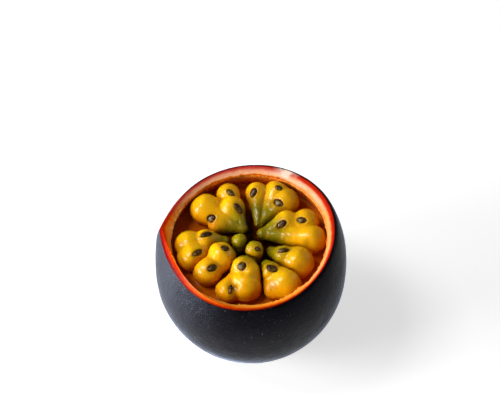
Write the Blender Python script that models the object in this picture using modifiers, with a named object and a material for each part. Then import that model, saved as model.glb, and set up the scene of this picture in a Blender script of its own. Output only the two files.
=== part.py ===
"""Passion fruit, cut open above its middle and left whole below, full of juice and pulp lobes.

The fruit stands upright on a small flat spot, with its origin at the middle of that spot and +Z up.
Lengths are in metres. Directions round the fruit are in degrees, counted from +X towards +Y, and
heights are counted from the equator, the widest level of the skin.
"""

import functools
import math

import bmesh
import bpy
import numpy as np
from mathutils import Matrix, Vector

MM = 0.001
COLLECTION = "passion_fruit_half"

# The skin. Below the equator it is half an ellipsoid, above it a curve that closes in more
# squarely: a superellipse, whose exponent is larger where the shoulder is fuller.
EQUATOR_RADIUS = 27.2 * MM
LOWER_HEIGHT = 28.4 * MM
UPPER_HEIGHT = 27.0 * MM
FLAT_SPOT_RADIUS = 5.0 * MM
EQUATOR_LEVEL = LOWER_HEIGHT * math.sqrt(1.0 - (FLAT_SPOT_RADIUS / EQUATOR_RADIUS) ** 2)
SHOULDER = 2.47

# How much fuller the shoulder is, how many times round the fruit, and in which direction.
SHOULDER_WAVES = [(0.20, 1, 41.0), (0.15, 2, 82.0), (0.11, 3, 30.0)]

# One ridge runs up the shoulder and ends in a corner of the rim.
RIDGE = 0.87
RIDGE_AT = 174.0
RIDGE_SPREAD = 12.0

# The cut is a plane that leans up to one side. Its face slopes down to the cavity's edge, which
# is a circle a little off the fruit's axis.
RIM_HEIGHT = 17.0 * MM
RIM_LEAN = 1.2 * MM
RIM_LEAN_TOWARDS = 24.0
CUT_FACE_DROP = 1.3 * MM
CAVITY_EDGE_RADIUS = 21.2 * MM
CAVITY_EDGE_SHIFT = 0.75 * MM
CAVITY_EDGE_SHIFT_TOWARDS = 222.0

# The wall under the cut, and from the equator down.
NECK_WALL = 3.3 * MM
WALL = 4.0 * MM
RIND_STEPS = 64
UPPER_POINTS = 6
LOWER_POINTS = 8
INNER_POINTS = 8

# The juice stands below the rim. Meshes that touch keep this clearance.
JUICE_LEVEL = 9.3 * MM
CLEARANCE = 0.3 * MM
TOUCH = 0.01 * MM
JUICE_STEPS = 32

# Lobes press against each other and against the rind with this gap. Their feet end in the juice.
LOBE_GAP = 0.45 * MM
FOOT_DEPTH = 1.4 * MM
FOOT_SHARE = 0.86
HEAD_SOFTNESS = 0.5 * MM
NECK_SOFTNESS = 1.5 * MM
PRESS_SOFTNESS = 0.6 * MM
NEIGHBOUR_RANGE = 2.0 * MM
REMESH_GRAIN = 0.5 * MM
BALL_SEGMENTS = 16
BALL_RINGS = 10
BALLS_PER_RADIUS = 1.5
SMOOTHINGS = 2
SETTLE_ROUNDS = 5
LOBE_TRIANGLES = 620
BUD_TRIANGLES = 180
CUTTER_TRIANGLES = 300

# Seeds are flattened ovals, more than half sunk in the lobes.
SEED_THICKNESS_SHARE = 0.36
SEED_SINK_SHARE = 0.09
SEED_SEGMENTS = 8
SEED_RINGS = 3

# Each lobe is one cluster of rounded heads on necks near the middle of the fruit.
# necks: direction, then reach from the axis, height and radius in millimetres.
# heads: the same four, and the number of the neck that the head draws out to. A bud has none.
# seeds: the number of the head, the direction in which the seed faces, its lean from straight up,
# the turn of its length from that direction, its length in millimetres, and its width as a share
# of the length.
LOBES = {
    "pulp_back_left": {
        "necks": [(115, 4.9, 12.4, 1.2)],
        "heads": [
            (138, 17.2, 11.7, 4.3, 0),
            (112, 17.4, 12.6, 3.1, 0),
            (116, 12.2, 13.1, 3.4, 0),
            (142, 11.4, 11.2, 2.8, 0),
        ],
        "seeds": [
            (3, 182, 39, 30, 2.9, 0.80),
            (1, 300, 29, 14, 3.2, 0.58),
            (2, 316, 46, 2, 3.8, 0.55),
            (0, 100, 76, 90, 3.2, 0.60),
        ],
    },
    "pulp_back_right": {
        "necks": [(73, 6.5, 12.4, 1.1), (65, 7.0, 12.2, 1.1)],
        "heads": [
            (84, 16.5, 13.1, 3.0, 0),
            (66, 18.1, 13.2, 3.4, 1),
            (54, 16.9, 12.9, 3.6, 1),
        ],
        "seeds": [
            (0, 238, 37, -2, 3.3, 0.62),
            (1, 308, 16, 34, 2.2, 0.75),
            (2, 227, 50, 96, 3.3, 0.68),
            (2, 75, 76, 90, 3.0, 0.60),
        ],
    },
    "pulp_right": {
        "necks": [(39, 4.3, 12.5, 1.7)],
        "heads": [
            (31, 11.5, 13.1, 3.3, 0),
            (22, 16.6, 13.2, 3.4, 0),
            (2, 16.9, 12.8, 3.7, 0),
        ],
        "seeds": [
            (0, 239, 45, -24, 3.4, 0.63),
            (1, 229, 33, -58, 3.0, 0.65),
            (1, 80, 76, 90, 3.0, 0.60),
        ],
    },
    "pulp_front_right": {
        "necks": [(330, 6.3, 12.4, 1.4)],
        "heads": [(331, 14.3, 12.3, 4.4, 0), (329, 10.4, 13.4, 2.7, 0)],
        "seeds": [(1, 155, 2, 32, 3.6, 0.48), (0, 75, 76, 90, 3.2, 0.60)],
    },
    "pulp_front_lower": {
        "necks": [(297, 9.5, 12.6, 2.0)],
        "heads": [(304, 15.9, 11.8, 4.4, 0), (297, 11.6, 13.2, 2.6, 0), (294, 15.6, 11.4, 2.9, 0)],
        "seeds": [(1, 308, 14, 28, 3.3, 0.70), (0, 75, 76, 90, 3.2, 0.60)],
    },
    "pulp_front": {
        "necks": [(268, 5.4, 12.6, 1.1)],
        "heads": [
            (264, 13.5, 11.6, 4.4, 0),
            (258, 8.9, 12.5, 3.5, 0),
            (248, 16.5, 11.5, 3.0, 0),
            (267, 10.4, 12.1, 3.7, 0),
        ],
        "seeds": [(1, 252, 24, -22, 2.8, 0.85), (2, 308, 27, -42, 2.9, 0.34)],
    },
    "pulp_front_left": {
        "necks": [(210, 8.0, 12.0, 2.0)],
        "heads": [(211, 9.2, 12.0, 4.3, 0), (218, 14.8, 11.4, 3.9, 0)],
        "seeds": [(0, 11, 13, -38, 2.3, 0.95), (1, 322, 26, 70, 3.2, 0.66)],
    },
    "pulp_left": {
        "necks": [(177, 7.4, 11.4, 1.9)],
        "heads": [
            (182, 17.0, 11.3, 3.9, 0),
            (179, 12.6, 12.4, 3.0, 0),
            (196, 16.7, 11.4, 3.9, 0),
        ],
        "seeds": [
            (1, 22, 8, 2, 3.8, 0.50),
            (2, 334, 27, 62, 3.7, 0.48),
            (0, 105, 76, 90, 3.2, 0.60),
        ],
    },
    "bud_left": {"heads": [(192, 3.3, 13.5, 2.4)], "seeds": []},
    "bud_right": {"heads": [(284, 3.5, 13.2, 2.8)], "seeds": [(0, 315, 33, 48, 1.7, 0.80)]},
}


def polar(direction, reach, height):
    """A point from a direction in degrees, and a reach and a height in metres."""
    angle = math.radians(direction)
    return np.array((reach * math.cos(angle), reach * math.sin(angle), height))


def skin_radius(height, angle=0.0):
    """The skin's radius at a height, and at an angle round the fruit in radians."""
    away = np.abs(np.angle(np.exp(1j * (angle - math.radians(RIDGE_AT)))))
    shoulder = SHOULDER + RIDGE * np.exp(-away / math.radians(RIDGE_SPREAD))
    for size, count, towards in SHOULDER_WAVES:
        shoulder = shoulder + size * np.cos(count * (angle - math.radians(towards)))
    above = np.clip(height / UPPER_HEIGHT, 0.0, 1.0) ** shoulder
    below = np.clip(-height / LOWER_HEIGHT, 0.0, 1.0) ** 2
    return EQUATOR_RADIUS * (1.0 - above) ** (1.0 / shoulder) * np.sqrt(1.0 - below)


def rim_height(angle):
    """The height of the rim's outer edge at an angle."""
    return RIM_HEIGHT + RIM_LEAN * np.cos(angle - math.radians(RIM_LEAN_TOWARDS))


def cavity_edge(angle):
    """The radius and the height of the cut face's inner edge at an angle."""
    shift = CAVITY_EDGE_SHIFT * np.cos(angle - math.radians(CAVITY_EDGE_SHIFT_TOWARDS))
    return CAVITY_EDGE_RADIUS + shift, rim_height(angle) - CUT_FACE_DROP


def cavity_profile(inset=0.0):
    """The cavity's wall from the axis up to the juice, as (radius, height) pairs."""
    profile = []
    for number in range(INNER_POINTS):
        angle = 0.5 * math.pi * number / (INNER_POINTS - 1)
        radius = (EQUATOR_RADIUS - WALL - inset) * math.sin(angle)
        profile.append((radius, -(LOWER_HEIGHT - WALL - inset) * math.cos(angle)))
    profile.append((float(skin_radius(JUICE_LEVEL)) - NECK_WALL - inset, JUICE_LEVEL))
    return profile


def wall_radius(height, angle):
    """The radius of the cavity's wall at a height and an angle."""
    radii, heights = zip(*cavity_profile())
    edge_radius, edge_height = cavity_edge(angle)
    share = np.clip((height - JUICE_LEVEL) / (edge_height - JUICE_LEVEL), 0.0, 1.0)
    return np.interp(height, heights, radii) + share * (edge_radius - radii[-1])


def taper(points, start, end, start_radius, end_radius):
    """The distance from points to a round bar whose radius changes from start to end."""
    axis = end - start
    along = np.clip((points - start) @ axis / (axis @ axis), 0.0, 1.0)
    nearest = start + along[:, None] * axis
    radius = start_radius + along * (end_radius - start_radius)
    return np.linalg.norm(points - nearest, axis=1) - radius


def soft_join(first, second, softness):
    """The smaller of two distances, with a rounded crease where they meet."""
    mix = np.clip(0.5 + 0.5 * (second - first) / softness, 0.0, 1.0)
    return second + (first - second) * mix - softness * mix * (1.0 - mix)


def soft_cut(first, second, softness):
    """The larger of two distances, with a rounded edge where they meet."""
    return -soft_join(-first, -second, softness)


def bars(lobe):
    """The round bars of each head: one down to its foot in the juice, one to its neck."""
    made = []
    for direction, reach, height, radius, *neck_number in lobe["heads"]:
        head = polar(direction, reach * MM, height * MM)
        foot_radius = radius * MM * FOOT_SHARE
        foot = polar(direction, reach * MM, JUICE_LEVEL - FOOT_DEPTH + foot_radius)
        pair = [(head, foot, radius * MM, foot_radius)]
        if neck_number:
            neck_direction, neck_reach, neck_height, neck_radius = lobe["necks"][neck_number[0]]
            neck = polar(neck_direction, neck_reach * MM, neck_height * MM)
            pair.append((head, neck, radius * MM, neck_radius * MM))
        made.append(pair)
    return made


def lobe_field(points, lobe):
    """The distance from points to a whole lobe."""
    result = None
    for pair in bars(lobe):
        drop = taper(points, *pair[0])
        for bar in pair[1:]:
            drop = soft_join(drop, taper(points, *bar), NECK_SOFTNESS)
        result = drop if result is None else soft_join(result, drop, HEAD_SOFTNESS)
    return result


@functools.lru_cache(maxsize=None)
def neighbours(name):
    """The lobes that come near enough to press on this one."""
    all_bars = [bar for pair in bars(LOBES[name]) for bar in pair]
    points = np.array([bar[end] for bar in all_bars for end in (0, 1)])
    radii = np.array([bar[end + 2] for bar in all_bars for end in (0, 1)])
    return [
        lobe
        for other, lobe in LOBES.items()
        if other != name and (lobe_field(points, lobe) - radii).min() < NEIGHBOUR_RANGE
    ]


def pressed_field(points, name):
    """A lobe's field, flattened where its neighbours and the rind press on it."""
    own = lobe_field(points, LOBES[name])
    result = own
    for lobe in neighbours(name):
        flat = 0.5 * (own - lobe_field(points, lobe) + LOBE_GAP)
        result = soft_cut(result, flat, PRESS_SOFTNESS)
    reach = np.hypot(points[:, 0], points[:, 1])
    angle = np.arctan2(points[:, 1], points[:, 0])
    room = wall_radius(points[:, 2], angle) - LOBE_GAP
    return soft_cut(result, reach - room, PRESS_SOFTNESS)


def slope_of(points, name):
    """The slope of a lobe's field at points, by central differences."""
    step = 0.02 * MM
    slope = np.empty_like(points)
    for axis, offset in enumerate(np.eye(3) * step):
        ahead = pressed_field(points + offset, name)
        behind = pressed_field(points - offset, name)
        slope[:, axis] = (ahead - behind) / (2.0 * step)
    return slope


def settle(points, name, offset):
    """Moves points along the field's slope onto the lobe's surface, or onto an offset one."""
    least_steepness = 0.2
    for _ in range(SETTLE_ROUNDS):
        slope = slope_of(points, name)
        steepness = np.maximum((slope * slope).sum(axis=1), least_steepness)
        points = points - ((pressed_field(points, name) - offset) / steepness)[:, None] * slope
    return points


def new_material(name, colour, roughness):
    """A plain material from a linear colour and a roughness."""
    material = bpy.data.materials.new(name)
    material.use_nodes = True
    shader = material.node_tree.nodes["Principled BSDF"]
    shader.inputs["Base Color"].default_value = (*colour, 1.0)
    shader.inputs["Roughness"].default_value = roughness
    shader.inputs["Metallic"].default_value = 0.0
    return material


def new_object(name, mesh, collection, centre):
    """An object for a mesh, placed by the fruit's centre."""
    made = bpy.data.objects.new(name, mesh)
    made.parent = centre
    collection.objects.link(made)
    return made


def apply_modifiers(made):
    """Replaces an object's mesh with the one that its modifiers make."""
    bpy.context.view_layer.update()
    graph = bpy.context.evaluated_depsgraph_get()
    mesh = bpy.data.meshes.new_from_object(made.evaluated_get(graph))
    made.modifiers.clear()
    made.data = mesh


def paint(made, material):
    """Gives an object its one material and smooth shading."""
    made.data.materials.clear()
    made.data.materials.append(material)
    made.data.shade_smooth()


def lathe(name, profile, steps, collection, centre):
    """A closed solid turned from a profile that ends on the axis and runs down its outer side."""
    mesh = bpy.data.meshes.new(name)
    points = [(radius, 0.0, height) for radius, height in profile]
    edges = [(number, number + 1) for number in range(len(points) - 1)]
    mesh.from_pydata(points, edges, [])
    made = new_object(name, mesh, collection, centre)
    screw = made.modifiers.new("Turn", "SCREW")
    screw.steps = steps
    screw.render_steps = steps
    screw.use_merge_vertices = True
    screw.merge_threshold = 0.01 * MM
    apply_modifiers(made)
    return made


def make_rind(collection, centre, material):
    """Skin, pith and cut face: one turned bowl, whose shoulder and rim are then made uneven."""
    upper = []
    for number in range(UPPER_POINTS):
        height = RIM_HEIGHT * math.cos(0.5 * math.pi * number / UPPER_POINTS)
        upper.append((float(skin_radius(height)), height))
    lower_end = math.acos(FLAT_SPOT_RADIUS / EQUATOR_RADIUS)
    lower = []
    for number in range(LOWER_POINTS):
        angle = lower_end * number / (LOWER_POINTS - 1)
        lower.append((EQUATOR_RADIUS * math.cos(angle), -LOWER_HEIGHT * math.sin(angle)))
    edge = tuple(float(value) for value in cavity_edge(0.0))
    profile = [*cavity_profile(), edge, *upper, *lower, (0.0, -EQUATOR_LEVEL)]
    made = lathe("rind", profile, RIND_STEPS, collection, centre)
    for vertex in made.data.vertices:
        angle = math.atan2(vertex.co.y, vertex.co.x)
        reach = math.hypot(vertex.co.x, vertex.co.y)
        height = vertex.co.z
        on_skin = abs(reach - skin_radius(height)) < TOUCH
        if on_skin and height > TOUCH:
            height *= float(rim_height(angle)) / RIM_HEIGHT
            radius = float(skin_radius(height, angle))
        elif height > JUICE_LEVEL + TOUCH:
            radius, height = (float(value) for value in cavity_edge(angle))
        else:
            continue
        vertex.co = polar(math.degrees(angle), radius, height)
    paint(made, material)


def rough_lobe(name, piece, collection, centre):
    """Balls strung along a lobe's bars, remeshed into one skin."""
    balls = bmesh.new()
    for pair in bars(LOBES[name]):
        for start, end, start_radius, end_radius in pair:
            length = np.linalg.norm(end - start)
            steps = max(2, math.ceil(BALLS_PER_RADIUS * length / end_radius))
            for number in range(steps + 1):
                share = number / steps
                bmesh.ops.create_uvsphere(
                    balls,
                    u_segments=BALL_SEGMENTS,
                    v_segments=BALL_RINGS,
                    radius=start_radius + share * (end_radius - start_radius),
                    matrix=Matrix.Translation(Vector(start + share * (end - start))),
                )
    mesh = bpy.data.meshes.new(piece)
    balls.to_mesh(mesh)
    balls.free()
    made = new_object(piece, mesh, collection, centre)
    remesh = made.modifiers.new("One skin", "REMESH")
    remesh.mode = "VOXEL"
    remesh.voxel_size = REMESH_GRAIN
    apply_modifiers(made)
    return made


def shape_lobe(name, piece, offset, triangles, collection, centre):
    """A lobe at its true form, or grown by an offset, thinned to about a number of triangles."""
    made = rough_lobe(name, piece, collection, centre)
    form = bmesh.new()
    form.from_mesh(made.data)
    for _ in range(SMOOTHINGS):
        bmesh.ops.smooth_vert(
            form, verts=form.verts, factor=0.5, use_axis_x=True, use_axis_y=True, use_axis_z=True
        )
        points = np.array([vertex.co[:] for vertex in form.verts])
        for vertex, place in zip(form.verts, settle(points, name, offset)):
            vertex.co = place
    bmesh.ops.triangulate(form, faces=form.faces)
    count = len(form.faces)
    form.to_mesh(made.data)
    form.free()
    thin = made.modifiers.new("Fewer faces", "DECIMATE")
    thin.ratio = min(1.0, triangles / count)
    apply_modifiers(made)
    return made


def seed_place(name, head, facing, lean):
    """Where a line from a head's centre leaves the lobe's surface, by halving an interval."""
    direction, reach, height, radius = LOBES[name]["heads"][head][:4]
    start = polar(direction, reach * MM, height * MM)
    line = polar(facing, math.sin(math.radians(lean)), math.cos(math.radians(lean)))
    near, far = 0.0, 2.0 * radius * MM
    while far - near > TOUCH:
        middle = 0.5 * (near + far)
        inside = pressed_field((start + middle * line)[None, :], name)[0] < 0.0
        near, far = (middle, far) if inside else (near, middle)
    return start + near * line


def add_seeds(made, name, collection, centre):
    """Fuses a lobe's seeds to it."""
    if not LOBES[name]["seeds"]:
        return
    group = bpy.data.collections.new("seeds of " + name)
    collection.children.link(group)
    for number, seed in enumerate(LOBES[name]["seeds"]):
        head, facing, lean, turn, length, width_share = seed
        spot = seed_place(name, head, facing, lean)
        normal = Vector(slope_of(spot[None, :], name)[0]).normalized()
        along = Vector(polar(facing + turn, 1.0, 0.0))
        along = (along - along.dot(normal) * normal).normalized()
        turned = Matrix((along, normal.cross(along), normal)).transposed().to_4x4()
        half = 0.5 * length * MM
        size = Matrix.Diagonal((half, half * width_share, half * SEED_THICKNESS_SHARE, 1.0))
        place = Matrix.Translation(Vector(spot) - normal * length * MM * SEED_SINK_SHARE)
        form = bmesh.new()
        bmesh.ops.create_uvsphere(
            form,
            u_segments=SEED_SEGMENTS,
            v_segments=SEED_RINGS,
            radius=1.0,
            matrix=place @ turned @ size,
        )
        mesh = bpy.data.meshes.new(f"seed_{number}")
        form.to_mesh(mesh)
        form.free()
        new_object(mesh.name, mesh, group, centre)
    union = made.modifiers.new("Seeds", "BOOLEAN")
    union.operation = "UNION"
    union.operand_type = "COLLECTION"
    union.collection = group
    apply_modifiers(made)
    for seed in list(group.objects):
        bpy.data.objects.remove(seed)
    bpy.data.collections.remove(group)


def make_juice(collection, cutters, centre, material):
    """The juice: the cavity filled up to its level, cut round the feet of the lobes."""
    profile = [*cavity_profile(CLEARANCE), (0.0, JUICE_LEVEL)]
    made = lathe("juice", list(reversed(profile)), JUICE_STEPS, collection, centre)
    cut = made.modifiers.new("Round the lobes", "BOOLEAN")
    cut.operation = "DIFFERENCE"
    cut.operand_type = "COLLECTION"
    cut.collection = cutters
    paint(made, material)


def main():
    """Builds the whole fruit."""
    for old in list(bpy.data.objects):
        bpy.data.objects.remove(old)
    collection = bpy.data.collections.new(COLLECTION)
    cutters = bpy.data.collections.new("cutters")
    bpy.context.scene.collection.children.link(collection)
    bpy.context.scene.collection.children.link(cutters)
    centre = bpy.data.objects.new("centre", None)
    centre.location = (0.0, 0.0, EQUATOR_LEVEL)
    collection.objects.link(centre)

    skin = new_material("skin", (0.010, 0.008, 0.014), 0.38)
    pulp = new_material("pulp", (0.82, 0.40, 0.012), 0.22)
    bud = new_material("bud", (0.26, 0.21, 0.012), 0.25)
    liquid = new_material("juice", (0.16, 0.03, 0.003), 0.08)

    make_rind(collection, centre, skin)
    for name in LOBES:
        is_bud = "necks" not in LOBES[name]
        triangles = BUD_TRIANGLES if is_bud else LOBE_TRIANGLES
        made = shape_lobe(name, name, 0.0, triangles, collection, centre)
        add_seeds(made, name, collection, centre)
        paint(made, bud if is_bud else pulp)
        piece = name + "_cutter"
        cutter = shape_lobe(name, piece, CLEARANCE, CUTTER_TRIANGLES, cutters, centre)
        cutter.hide_render = True
        cutter.display_type = "WIRE"
    make_juice(collection, cutters, centre, liquid)


main()
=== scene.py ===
"""Looks for the open passion fruit half: its skin, cut face, juice, pulp lobes and seeds.

The solids' forms are made again from the part's own named values, with a finer grain and with what
is too small for the solids: the frayed edge, the seeds' wells, dents, folds and the juice's rise
at its edges. Lengths are in metres. Directions round the fruit are in degrees, counted from +X
towards +Y, and heights are counted from the equator, the widest level of the skin.
"""

import functools
import math

import bmesh
import bpy
import numpy as np
from mathutils import Matrix, Vector, noise

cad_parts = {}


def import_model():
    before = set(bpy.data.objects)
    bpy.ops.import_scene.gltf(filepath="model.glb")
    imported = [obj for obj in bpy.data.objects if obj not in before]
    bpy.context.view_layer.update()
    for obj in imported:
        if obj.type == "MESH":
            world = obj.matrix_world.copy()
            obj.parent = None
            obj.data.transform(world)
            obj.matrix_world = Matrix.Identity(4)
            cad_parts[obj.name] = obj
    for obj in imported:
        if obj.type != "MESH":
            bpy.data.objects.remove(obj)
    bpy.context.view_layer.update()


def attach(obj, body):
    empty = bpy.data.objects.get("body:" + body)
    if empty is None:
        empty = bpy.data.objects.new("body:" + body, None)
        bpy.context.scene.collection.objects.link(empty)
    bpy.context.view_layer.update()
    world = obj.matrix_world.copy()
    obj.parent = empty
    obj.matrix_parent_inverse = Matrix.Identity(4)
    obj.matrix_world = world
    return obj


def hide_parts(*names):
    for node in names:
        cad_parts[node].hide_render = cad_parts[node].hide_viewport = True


MM = 0.001

# The camera, as fitted to the photograph's frame of 500 by 400: its elevation in degrees, its lens
# and sensor in Blender's millimetres, and its tilt and pan in radians.
CAMERA_ELEVATION = 57.0
CAMERA_DISTANCE = 243.0 * MM
CAMERA_LENS = 60.5
CAMERA_SENSOR = 36.0
CAMERA_TILT = 0.079
CAMERA_PAN = -0.00115

# The skin, the cut and the cavity, as in the part.
EQUATOR_RADIUS = 27.2 * MM
LOWER_HEIGHT = 28.4 * MM
UPPER_HEIGHT = 27.0 * MM
FLAT_SPOT_RADIUS = 5.0 * MM
EQUATOR_LEVEL = LOWER_HEIGHT * math.sqrt(1.0 - (FLAT_SPOT_RADIUS / EQUATOR_RADIUS) ** 2)
SHOULDER = 2.47
SHOULDER_WAVES = [(0.20, 1, 41.0), (0.15, 2, 82.0), (0.11, 3, 30.0)]
RIDGE = 0.87
RIDGE_AT = 174.0
RIDGE_SPREAD = 12.0
RIM_HEIGHT = 17.0 * MM
RIM_LEAN = 1.2 * MM
RIM_LEAN_TOWARDS = 24.0
CUT_FACE_DROP = 1.3 * MM
CAVITY_EDGE_RADIUS = 21.2 * MM
CAVITY_EDGE_SHIFT = 0.75 * MM
CAVITY_EDGE_SHIFT_TOWARDS = 222.0
NECK_WALL = 3.3 * MM
WALL = 4.0 * MM
INNER_POINTS = 8
JUICE_LEVEL = 9.3 * MM
CLEARANCE = 0.3 * MM
TOUCH = 0.01 * MM

# The lobes, as in the part, with a finer grain. The edges where they press on each other are softer
# here, and the lobes named in ROUNDED are smoothed as far as the given length.
LOBE_GAP = 0.45 * MM
FOOT_DEPTH = 1.4 * MM
FOOT_SHARE = 0.86
HEAD_SOFTNESS = 0.5 * MM
NECK_SOFTNESS = 1.5 * MM
PRESS_SOFTNESS = 0.8 * MM
NEIGHBOUR_RANGE = 2.0 * MM
GRAIN = 0.16 * MM
BALL_SEGMENTS = 32
BALL_RINGS = 20
BALLS_PER_RADIUS = 4.0
SMOOTHINGS = 2
SETTLE_ROUNDS = 4
ROUNDED = {"pulp_front_left": 0.9 * MM}

# necks: direction, then reach from the axis, height and radius in millimetres.
# heads: the same four, and the number of the neck that the head draws out to. A bud has none.
# seeds: the number of the head, the direction in which the seed faces, its lean from straight up,
# the turn of its length from that direction, its length in millimetres, and its width as a share
# of the length.
# green: the reach up to which a lobe is green and the reach from which it is yellow.
LOBES = {
    "pulp_back_left": {
        "necks": [(115, 4.9, 12.4, 1.2)],
        "heads": [
            (138, 17.2, 11.7, 4.3, 0),
            (112, 17.4, 12.6, 3.1, 0),
            (116, 12.2, 13.1, 3.4, 0),
            (142, 11.4, 11.2, 2.8, 0),
        ],
        "seeds": [
            (3, 182, 39, 30, 2.9, 0.80),
            (1, 300, 29, 14, 3.2, 0.58),
            (2, 316, 46, 2, 3.8, 0.55),
            (0, 100, 76, 90, 3.2, 0.60),
        ],
        "green": (6.5, 13.5),
    },
    "pulp_back_right": {
        "necks": [(73, 6.5, 12.4, 1.1), (65, 7.0, 12.2, 1.1)],
        "heads": [
            (84, 16.5, 13.1, 3.0, 0),
            (66, 18.1, 13.2, 3.4, 1),
            (54, 16.9, 12.9, 3.6, 1),
        ],
        "seeds": [
            (0, 238, 37, -2, 3.3, 0.62),
            (1, 308, 16, 34, 2.2, 0.75),
            (2, 227, 50, 96, 3.3, 0.68),
            (2, 75, 76, 90, 3.0, 0.60),
        ],
        "green": (9.5, 16.0),
    },
    "pulp_right": {
        "necks": [(39, 4.3, 12.5, 1.7)],
        "heads": [
            (31, 11.5, 13.1, 3.3, 0),
            (22, 16.6, 13.2, 3.4, 0),
            (2, 16.9, 12.8, 3.7, 0),
        ],
        "seeds": [
            (0, 239, 45, -24, 3.4, 0.63),
            (1, 229, 33, -58, 3.0, 0.65),
            (1, 80, 76, 90, 3.0, 0.60),
        ],
        "green": (7.0, 13.0),
    },
    "pulp_front_right": {
        "necks": [(330, 6.3, 12.4, 1.4)],
        "heads": [(331, 14.3, 12.3, 4.4, 0), (329, 10.4, 13.4, 2.7, 0)],
        "seeds": [(1, 155, 2, 32, 3.6, 0.48), (0, 75, 76, 90, 3.2, 0.60)],
        "green": (8.0, 14.5),
    },
    "pulp_front_lower": {
        "necks": [(297, 9.5, 12.6, 2.0)],
        "heads": [(304, 15.9, 11.8, 4.4, 0), (297, 11.6, 13.2, 2.6, 0), (294, 15.6, 11.4, 2.9, 0)],
        "seeds": [(1, 308, 14, 28, 3.3, 0.70), (0, 75, 76, 90, 3.2, 0.60)],
        "green": (9.0, 14.5),
    },
    "pulp_front": {
        "necks": [(268, 5.4, 12.6, 1.1)],
        "heads": [
            (264, 13.5, 11.6, 4.4, 0),
            (258, 8.9, 12.5, 3.5, 0),
            (248, 16.5, 11.5, 3.0, 0),
            (267, 10.4, 12.1, 3.7, 0),
        ],
        "seeds": [(1, 252, 24, -22, 2.8, 0.85), (2, 308, 27, -42, 2.9, 0.34)],
        "green": (6.0, 10.5),
    },
    "pulp_front_left": {
        "necks": [(210, 8.0, 12.0, 2.0)],
        "heads": [(211, 9.2, 12.0, 4.3, 0), (218, 14.8, 11.4, 3.9, 0)],
        "seeds": [(0, 11, 13, -38, 2.3, 0.95), (1, 322, 26, 70, 3.2, 0.66)],
        "green": (4.5, 8.5),
    },
    "pulp_left": {
        "necks": [(177, 7.4, 11.4, 1.9)],
        "heads": [
            (182, 17.0, 11.3, 3.9, 0),
            (179, 12.6, 12.4, 3.0, 0),
            (196, 16.7, 11.4, 3.9, 0),
        ],
        "seeds": [
            (1, 22, 8, 2, 3.8, 0.50),
            (2, 334, 27, 62, 3.7, 0.48),
            (0, 105, 76, 90, 3.2, 0.60),
        ],
        "green": (8.0, 13.5),
    },
    "bud_left": {"heads": [(192, 3.3, 13.5, 2.4)], "seeds": [], "green": (20.0, 30.0)},
    "bud_right": {
        "heads": [(284, 3.5, 13.2, 2.8)],
        "seeds": [(0, 315, 33, 48, 1.7, 0.80)],
        "green": (1.0, 9.0),
    },
}

# Forms of single seeds: the lobe and the seed's number, then how much wider its head end is than
# its tail, how far it curls to one side, and how pointed its ends are.
SEED_FORMS = {
    ("pulp_back_left", 0): (0.2, 0.1, 0.1),
    ("pulp_back_left", 1): (-0.3, 0.1, 0.3),
    ("pulp_back_left", 2): (0.0, -0.12, 0.3),
    ("pulp_back_right", 0): (-0.55, 0.1, 0.6),
    ("pulp_back_right", 2): (0.1, 0.35, 0.4),
    ("pulp_right", 0): (-0.3, 0.0, 0.6),
    ("pulp_right", 1): (0.25, -0.22, 0.5),
    ("pulp_front_right", 0): (0.3, 0.15, 0.5),
    ("pulp_front_lower", 0): (0.2, 0.4, 0.2),
    ("pulp_front", 0): (0.8, 0.0, 0.2),
    ("pulp_front_left", 0): (0.1, 0.1, 0.0),
    ("pulp_front_left", 1): (-0.2, 0.22, 0.15),
    ("pulp_left", 0): (0.3, 0.3, 0.7),
    ("pulp_left", 1): (0.2, -0.12, 0.6),
}
USUAL_SEED_FORM = (0.0, 0.0, 0.3)

# Every seed. Shares are of its half length, but for the share of the part's seed that it fills.
SEED_SEGMENTS = 40
SEED_RINGS = 24
SEED_SHOWN_SHARE = 0.88
SEED_THICKNESS_SHARE = 0.36
SEED_RISE = 0.22 * MM
SEED_UNEVENNESS = 0.22
SEED_UNEVEN_GRAIN = 0.7
SEED_CURL_MIDDLE = 0.4

# A seed is lighter on its dome, and painted light makes it lighter on the side that faces this way.
SEED_LIGHT_SIDE = np.array((-0.35, -0.93, 0.0))
SEED_LIGHT_BORDER = (-0.3, 0.9)
SEED_LIGHT_SHARE = 0.6

# Dents: the number of the head, the direction in which the dent faces, its lean from straight up,
# its width and its depth in millimetres.
DENTS = {
    "pulp_front_lower": [(0, 222, 66, 3.0, 0.5), (2, 300, 60, 2.4, 0.3)],
    "pulp_front": [(2, 320, 25, 1.5, 0.45), (0, 215, 48, 2.4, 0.5), (0, 100, 20, 2.0, 0.3)],
    "pulp_right": [(2, 242, 56, 2.4, 0.22)],
    "pulp_front_right": [(0, 280, 46, 2.8, 0.22)],
    "pulp_left": [(0, 250, 50, 2.4, 0.25)],
}

# Blushes, as dents, with a strength from 0 to 1: brown where a seed lies under the pulp's skin;
# the wide ones that face right, away from the left lamps, are painted shade.
BLUSHES_AND_SHADE = {
    "pulp_back_right": [(2, 20, 45, 6.5, 1.0), (1, 60, 40, 5.0, 0.6), (2, 260, 50, 2.4, 0.3)],
    "pulp_right": [(2, 242, 56, 2.2, 1.2), (1, 10, 45, 6.0, 0.9), (2, 330, 50, 6.0, 0.9)],
    "pulp_front_right": [(0, 280, 46, 2.2, 1.1), (0, 350, 50, 5.5, 0.8), (0, 240, 60, 4.0, 0.7)],
    "pulp_front": [(0, 30, 30, 2.6, 0.6), (0, 235, 40, 3.0, 0.5)],
    "pulp_left": [(0, 225, 40, 2.2, 0.6)],
    "pulp_front_lower": [(0, 225, 50, 3.0, 0.7), (2, 230, 50, 3.0, 0.4), (0, 340, 60, 4.0, 0.4)],
    "pulp_back_left": [(0, 250, 30, 2.4, 0.35)],
}

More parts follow.
